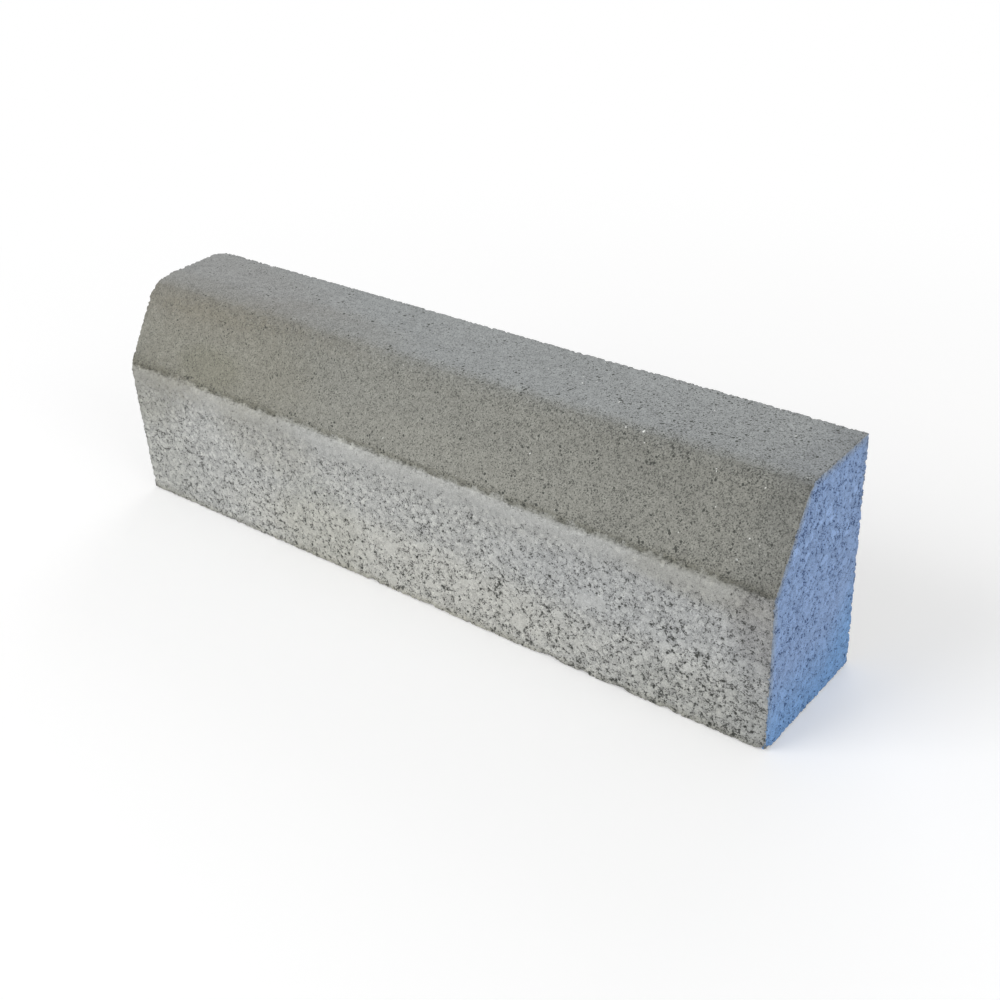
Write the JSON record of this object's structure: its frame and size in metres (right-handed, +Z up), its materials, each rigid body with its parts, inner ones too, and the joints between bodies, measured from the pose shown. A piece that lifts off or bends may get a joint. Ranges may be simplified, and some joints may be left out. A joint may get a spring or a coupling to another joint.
{
  "type": "kerb stone",
  "caption": "Straight cast concrete kerb stone with a plumb lower face, a sloped upper face that leans back to a rounded nose, and a level top.",
  "frame": {"origin": "middle of the bed, the flat underside that the stone stands on", "axes": "+X along the stone's length, -Y out of its sloped front, +Y out of its plumb back, +Z up out of its level top"},
  "size_m": [0.5, 0.095, 0.15],
  "materials": {
    "concrete": "matte"
  },
  "bodies": {
    "root": {"kerb_stone": "concrete"}
  },
  "joints": []
}
